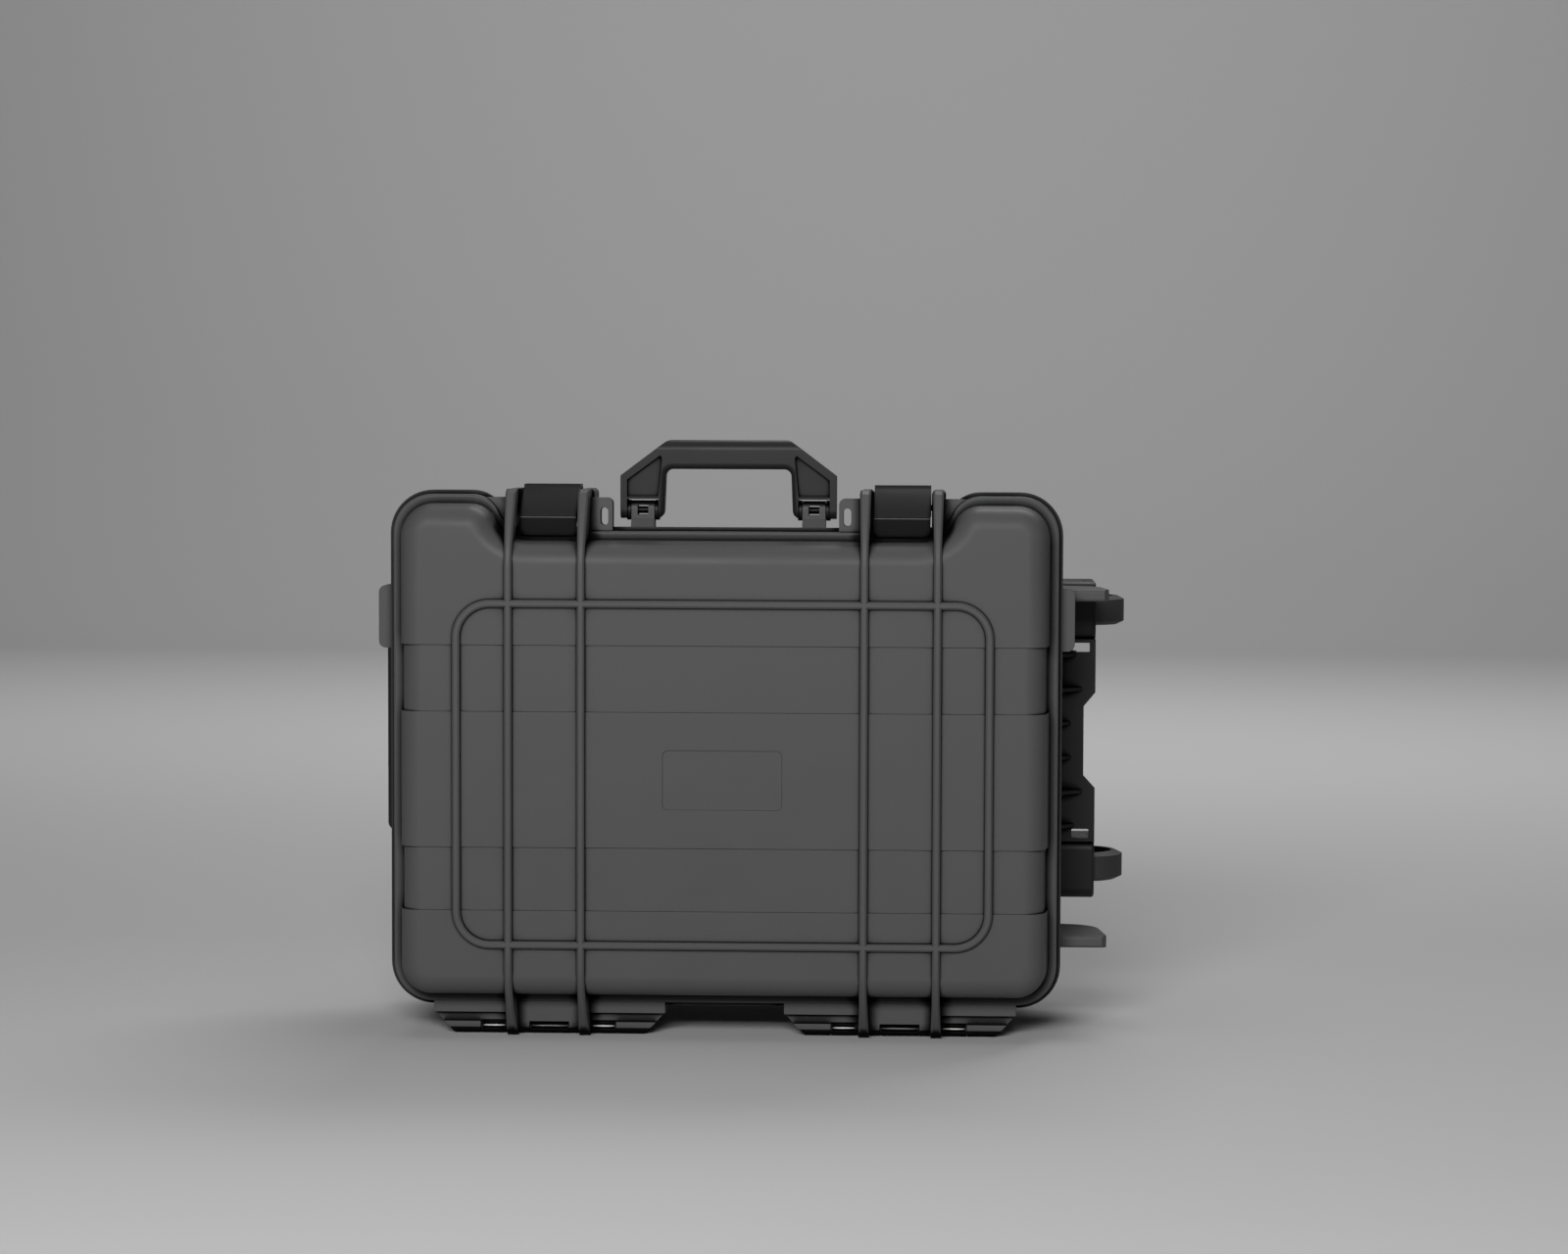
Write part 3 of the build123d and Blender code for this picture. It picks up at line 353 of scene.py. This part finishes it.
def finishes():
    """Every finish of the case, made once from its real material."""
    if MATERIALS:
        return MATERIALS
    chosen = bpy.context.scene.case_finish
    rounding = chosen.edge_round
    # The last number given to the shells, latches, fittings and pins is how far their painted shade in gaps
    # and corners reaches
    # Polypropylene shells from a spark-eroded mould: dark grey, matt, with a fine even grain
    MATERIALS["shell"] = moulded_plastic(
        "grained_polypropylene", chosen.shell_colour, 0.5, chosen.grain, 0.05 * MM, 0.025, rounding, 12 * MM
    )
    # Glass-filled nylon latches from a polished mould: near black, with a broad satin highlight
    MATERIALS["latch"] = moulded_plastic(
        "satin_nylon_latch", chosen.latch_colour, 0.33, 0.9 * MM, 0.012 * MM, 0.03, rounding, 9 * MM
    )
    # Nylon handle, grip and carrier: between the two in tone and gloss
    MATERIALS["fitting"] = moulded_plastic(
        "moulded_nylon_fitting", chosen.fitting_colour, 0.45, 0.9 * MM, 0.03 * MM, 0.05, rounding, 14 * MM
    )
    # Polyurethane tread: soft, matt and a little dusty
    MATERIALS["tread"] = moulded_plastic(
        "polyurethane_tread", chosen.tread_colour, 0.7, 1.6 * MM, 0.06 * MM, 0.1, round_edge=0.4 * MM
    )
    # Foamed rubber seal: black and dull
    MATERIALS["seal"] = moulded_plastic("foam_rubber_seal", colour("1b1b1b"), 0.85, 0.8 * MM, 0.1 * MM, 0.12)
    # Natural nylon bush: cream and waxy
    MATERIALS["bush"] = moulded_plastic(
        "natural_nylon_bush", colour("d9d5c6"), 0.4, 0.8 * MM, 0.01 * MM, 0.03
    )
    # Ground stainless pins: grey steel with lines along the pin, darkened in the gaps by painted shade
    MATERIALS["pin"] = drawn_metal(
        "ground_stainless_pin", colour("7c7c7b"), 0.4, 0.4 * MM, (0.05, 1, 1), 9 * MM
    )
    # Zinc-plated screws: a duller, slightly blue grey
    MATERIALS["screw"] = drawn_metal("zinc_plated_screw", colour("8d9093"), 0.4, 0.5 * MM, (1, 1, 1))
    # Anodised aluminium tubes: pale, satin, drawn along their length
    MATERIALS["tube"] = drawn_metal("anodised_aluminium_tube", colour("c4c5c8"), 0.34, 0.5 * MM, (0.02, 1, 1))
    return MATERIALS


def merged_copy(node):
    """A CAD node's mesh as one closed skin."""
    source = frame["nodes"][node]
    mesh = bmesh.new()
    mesh.from_mesh(source.data)
    bmesh.ops.remove_doubles(mesh, verts=mesh.verts, dist=0.002 * MM)
    return mesh


def crisp_edges(mesh):
    """Smooth shading, apart from edges that turn more than the crisp angle."""
    for face in mesh.faces:
        face.smooth = True
    for edge in mesh.edges:
        edge.smooth = len(edge.link_faces) == 2 and edge.calc_face_angle(0.0) < CRISP_ANGLE


def as_piece(mesh, name, material, body):
    """A finished piece from a bmesh, riding on a body."""
    data = bpy.data.meshes.new(name)
    mesh.to_mesh(data)
    mesh.free()
    piece = bpy.data.objects.new(name, data)
    bpy.context.scene.collection.objects.link(piece)
    data.materials.append(finishes()[material])
    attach(piece, body)
    return piece


def body_of(node):
    """The body that a CAD node belongs to."""
    for body, nodes in frame["record"]["behaviour"]["bodies"].items():
        if node in nodes:
            return body
    raise ValueError(f"no body holds {node}")


def dress(node, material):
    """Stands a smoothly shaded skin in a node's place, with its edges kept crisp."""
    mesh = merged_copy(node)
    crisp_edges(mesh)
    piece = as_piece(mesh, f"{node}_skin", material, body_of(node))
    weighted = piece.modifiers.new("Flat faces first", "WEIGHTED_NORMAL")
    weighted.keep_sharp = True
    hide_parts(node)
    return piece


class CASE_OT_shells(bpy.types.Operator):
    """Dress the lid and the base in grained polypropylene, with the seal between them"""

    bl_idname = "case.shells"
    bl_label = "Lid and Base"

    def execute(self, context):
        for node in SHELL_NODES:
            dress(node, "shell")
        dress("lid_gasket", "seal")
        dress("pressure_valve", "latch")
        return {"FINISHED"}


class CASE_OT_latches(bpy.types.Operator):
    """Dress the two latches and their pins"""

    bl_idname = "case.latches"
    bl_label = "Latches"

    def execute(self, context):
        dress("latch_left", "latch")
        dress("latch_right", "latch")
        dress("latch_pins", "pin")
        dress("hinge_pins", "pin")
        return {"FINISHED"}


class CASE_OT_handle(bpy.types.Operator):
    """Dress the carry handle and its pins"""

    bl_idname = "case.handle"
    bl_label = "Carry Handle"

    def execute(self, context):
        dress("carry_handle", "fitting")
        dress("handle_pins", "pin")
        return {"FINISHED"}


class CASE_OT_wheels(bpy.types.Operator):
    """Dress the wheel carrier, the wheels and their axles"""

    bl_idname = "case.wheels"
    bl_label = "Wheel End"

    def execute(self, context):
        dress("wheel_carrier", "fitting")
        dress("carrier_screws", "screw")
        for side in ("lower", "upper"):
            dress(f"{side}_wheel_hub", "fitting")
            dress(f"{side}_wheel_tyre", "tread")
            dress(f"{side}_wheel_bush", "bush")
            dress(f"{side}_axle", "pin")
        return {"FINISHED"}


class CASE_OT_trolley(bpy.types.Operator):
    """Dress the pull-out trolley handle and its channel"""

    bl_idname = "case.trolley"
    bl_label = "Trolley Handle"

    def execute(self, context):
        for tubes in ("trolley_outer_tubes", "trolley_middle_tubes", "trolley_inner_tubes"):
            dress(tubes, "tube")
        for fitting in ("trolley_cover", "trolley_bezel", "trolley_saddles", "trolley_grip"):
            dress(fitting, "fitting")
        dress("release_button", "latch")
        return {"FINISHED"}


def soft_lamp(name, place, target, size, power):
    """A large area lamp at a place, turned to a target."""
    lamp = bpy.data.lights.new(name, "AREA")
    lamp.shape = "RECTANGLE"
    lamp.size, lamp.size_y = size
    lamp.energy = power
    holder = bpy.data.objects.new(name, lamp)
    holder.location = place
    holder.rotation_euler = (Vector(target) - Vector(place)).to_track_quat("-Z", "Y").to_euler()
    bpy.context.scene.collection.objects.link(holder)
    return holder


def studio_floor(studio):
    """The pale floor, in one sheet that curves up behind the case."""
    half = studio.floor_size
    mesh = bmesh.new()
    start = [mesh.verts.new((side * half, -half, 0)) for side in (-1, 1)]
    edge = mesh.edges.new(start)
    made = bmesh.ops.extrude_edge_only(mesh, edges=[edge])
    moved = [item for item in made["geom"] if isinstance(item, bmesh.types.BMVert)]
    bmesh.ops.translate(mesh, verts=moved, vec=(0, half + FLOOR_BACK, 0))
    last = [item for item in made["geom"] if isinstance(item, bmesh.types.BMEdge)]
    last = [item for item in last if all(vert in moved for vert in item.verts)]
    bmesh.ops.spin(
        mesh,
        geom=last + moved,
        cent=(0, FLOOR_BACK, FLOOR_CURVE),
        axis=(1, 0, 0),
        angle=math.radians(90),
        steps=FLOOR_STEPS,
        use_merge=False,
    )
    for face in mesh.faces:
        face.smooth = True
    bmesh.ops.recalc_face_normals(mesh, faces=mesh.faces)
    data = bpy.data.meshes.new("studio_floor")
    mesh.to_mesh(data)
    mesh.free()
    floor = bpy.data.objects.new("studio_floor", data)
    bpy.context.scene.collection.objects.link(floor)
    made, tree, shader = start_material("graduated_studio_sheet")
    coords = add_node(tree, "ShaderNodeTexCoord")
    split = add_node(tree, "ShaderNodeSeparateXYZ", Vector=coords.outputs["Object"])
    span = {"From Min": TONE_NEAR_Y, "From Max": TONE_FAR_Y}
    depth = add_node(tree, "ShaderNodeMapRange", span, Value=split.outputs["Y"])
    tones = {"data_type": "RGBA", 6: studio.near_colour, 7: studio.far_colour}
    sheet = add_node(tree, "ShaderNodeMix", tones)
    tree.links.new(depth.outputs[0], sheet.inputs[0])
    tree.links.new(sheet.outputs[2], shader.inputs["Base Color"])
    shader.inputs["Roughness"].default_value = 0.9
    shader.inputs["Specular IOR Level"].default_value = 0.1
    data.materials.append(made)


def photo_camera(studio):
    """The camera at the photograph's place and angle."""
    lens = bpy.data.cameras.new("photo_camera")
    lens.lens = studio.lens
    lens.sensor_width = 36.0
    lens.shift_x = CAMERA_SHIFT_X
    lens.clip_end = 100.0
    camera = bpy.data.objects.new("photo_camera", lens)
    bpy.context.scene.collection.objects.link(camera)
    camera.location = [value * MM for value in CAMERA_PLACE]
    turn = Matrix.Rotation(math.radians(CAMERA_YAW), 4, "Z")
    tilt = Matrix.Rotation(math.radians(90 - CAMERA_PITCH), 4, "X")
    roll = Matrix.Rotation(math.radians(CAMERA_ROLL), 4, "Z")
    camera.rotation_mode = "QUATERNION"
    camera.rotation_quaternion = (turn @ tilt @ roll).to_quaternion()
    bpy.context.scene.camera = camera


class CASE_OT_stage(bpy.types.Operator):
    """Set the pale floor, the soft lamps, the world and the photograph's camera"""

    bl_idname = "case.stage"
    bl_label = "Studio"

    def execute(self, context):
        studio = context.scene.case_studio
        studio_floor(studio)
        photo_camera(studio)
        for name, place, target, size, share in LAMPS:
            soft_lamp(name, place, target, size, studio.key_power * share)
        world = bpy.data.worlds.new("studio_world")
        world.use_nodes = True
        background = world.node_tree.nodes["Background"]
        background.inputs["Color"].default_value = colour("c9c9c9")
        background.inputs["Strength"].default_value = WORLD_STRENGTH
        context.scene.world = world
        context.scene.view_settings.view_transform = "Standard"
        return {"FINISHED"}


class CASE_PT_panel(bpy.types.Panel):
    """Sizes, colours and steps of the case"""

    bl_idname = "CASE_PT_panel"
    bl_label = "Wheeled Protective Case"
    bl_space_type = "VIEW_3D"
    bl_region_type = "UI"
    bl_category = "Case"

    def draw(self, context):
        for group in (context.scene.case_finish, context.scene.case_studio):
            for key in group.__annotations__:
                self.layout.prop(group, key)
        for step in STEPS:
            self.layout.operator(step.bl_idname)


STEPS = (
    CASE_OT_shells,
    CASE_OT_latches,
    CASE_OT_handle,
    CASE_OT_wheels,
    CASE_OT_trolley,
    CASE_OT_stage,
)
GROUPS = (CaseFinish, CaseStudio)


def register():
    for item in (*GROUPS, *STEPS, CASE_PT_panel):
        bpy.utils.register_class(item)
    bpy.types.Scene.case_finish = bpy.props.PointerProperty(type=CaseFinish)
    bpy.types.Scene.case_studio = bpy.props.PointerProperty(type=CaseStudio)


def unregister():
    del bpy.types.Scene.case_studio
    del bpy.types.Scene.case_finish
    for item in reversed((*GROUPS, *STEPS, CASE_PT_panel)):
        bpy.utils.unregister_class(item)


def main():
    register()
    for step in STEPS:
        group, name = step.bl_idname.split(".")
        getattr(getattr(bpy.ops, group), name)()


if __name__ == "__main__":
    main()
